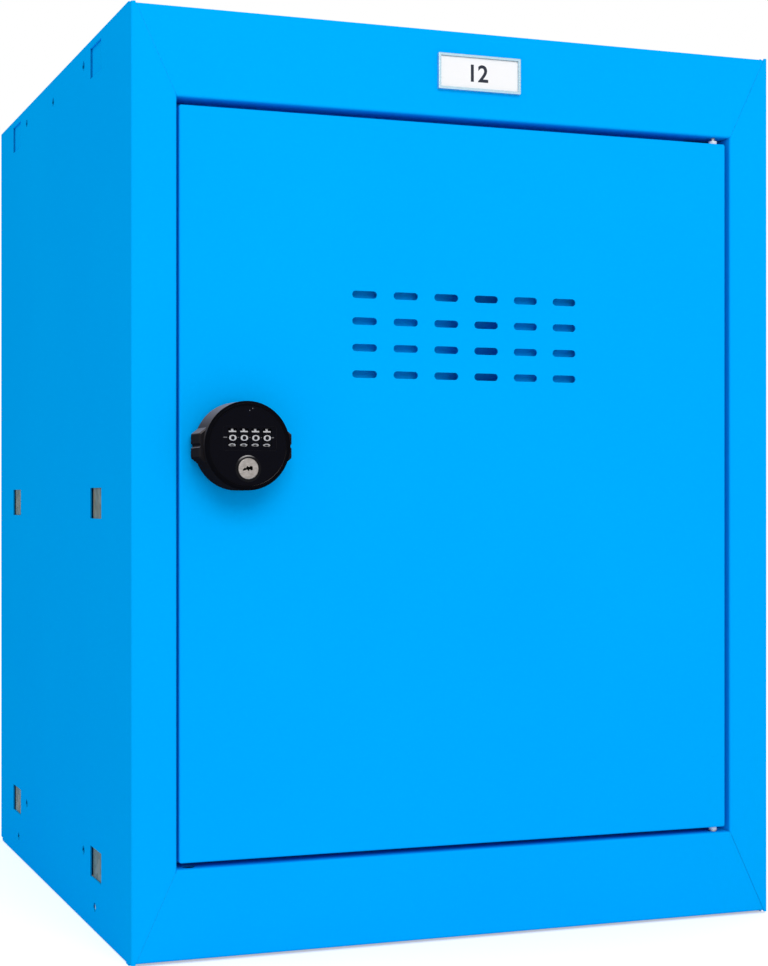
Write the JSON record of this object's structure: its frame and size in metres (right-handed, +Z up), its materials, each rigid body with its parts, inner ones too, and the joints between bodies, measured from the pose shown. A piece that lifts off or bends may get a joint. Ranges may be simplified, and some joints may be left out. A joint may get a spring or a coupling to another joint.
{
  "type": "cube locker",
  "caption": "Folded steel locker cube with a flush pan door on pivot pins, vent slots, and a round code lock with a key override.",
  "frame": {"origin": "centre of the base of the whole object's box, knob included, on the floor", "axes": "+X to the right seen from the front, +Y to the back, +Z up; the door faces -Y"},
  "size_m": [0.4, 0.425, 0.525],
  "materials": {
    "blue_paint": "bright blue powder coat, satin",
    "zinc": "zinc plated, dull grey",
    "steel": "plated steel",
    "black_rubber": "soft black rubber",
    "silver": "bright silver",
    "white_plate": "smooth white",
    "white_nylon": "white moulded nylon",
    "lock_black": "black, softly glossy",
    "face_black": "black, satin",
    "wheel_black": "black with white digits",
    "nickel": "satin nickel"
  },
  "bodies": {
    "carcass": {"left_side_panel": "blue_paint", "right_side_panel": "blue_paint", "top_panel": "blue_paint", "floor_panel": "blue_paint", "back_panel": "blue_paint", "left_slot_plates": "zinc", "right_slot_plates": "zinc", "top_hinge_pin": "steel", "bottom_hinge_pin": "steel", "door_buffers": "black_rubber", "label_frame": "silver", "label_insert": "white_plate"},
    "door": {"door_panel": "blue_paint", "vent_baffle": "blue_paint", "top_hinge_bush": "white_nylon", "bottom_hinge_bush": "white_nylon", "lock_rose": "lock_black", "lock_washer": "steel", "lock_nut": "steel"},
    "knob": {"knob_shell": "lock_black", "face_plate": "face_black", "wheel_axle": "steel", "detent_spring": "steel", "key_sleeve": "lock_black", "spindle": "steel", "knob_screws": "steel", "locking_cam": "steel", "cam_screw": "steel"},
    "wheel_1": {"code_wheel_1": "wheel_black"},
    "wheel_2": {"code_wheel_2": "wheel_black"},
    "wheel_3": {"code_wheel_3": "wheel_black"},
    "wheel_4": {"code_wheel_4": "wheel_black"},
    "key": {"key_plug": "nickel"}
  },
  "joints": [
    {"name": "door_hinge", "type": "hinge", "parent": "carcass", "child": "door", "pos_m": [0.1648, -0.182, 0.2627], "axis": [0, 0, 1], "range_deg": [0, 110]},
    {"name": "knob_turn", "type": "hinge", "parent": "door", "child": "knob", "pos_m": [-0.1414, -0.1875, 0.2828], "axis": [0, 1, 0], "range_deg": [0, 90]},
    {"name": "code_wheel_1_spin", "type": "hinge", "parent": "knob", "child": "wheel_1", "pos_m": [-0.15015, -0.2043, 0.2872], "axis": [1, 0, 0], "continuous": true},
    {"name": "code_wheel_2_spin", "type": "hinge", "parent": "knob", "child": "wheel_2", "pos_m": [-0.14365, -0.2043, 0.2872], "axis": [1, 0, 0], "continuous": true},
    {"name": "code_wheel_3_spin", "type": "hinge", "parent": "knob", "child": "wheel_3", "pos_m": [-0.13715, -0.2043, 0.2872], "axis": [1, 0, 0], "continuous": true},
    {"name": "code_wheel_4_spin", "type": "hinge", "parent": "knob", "child": "wheel_4", "pos_m": [-0.13065, -0.2043, 0.2872], "axis": [1, 0, 0], "continuous": true},
    {"name": "key_turn", "type": "hinge", "parent": "knob", "child": "key", "pos_m": [-0.1414, -0.2125, 0.2704], "axis": [0, 1, 0], "range_deg": [0, 90]}
  ]
}
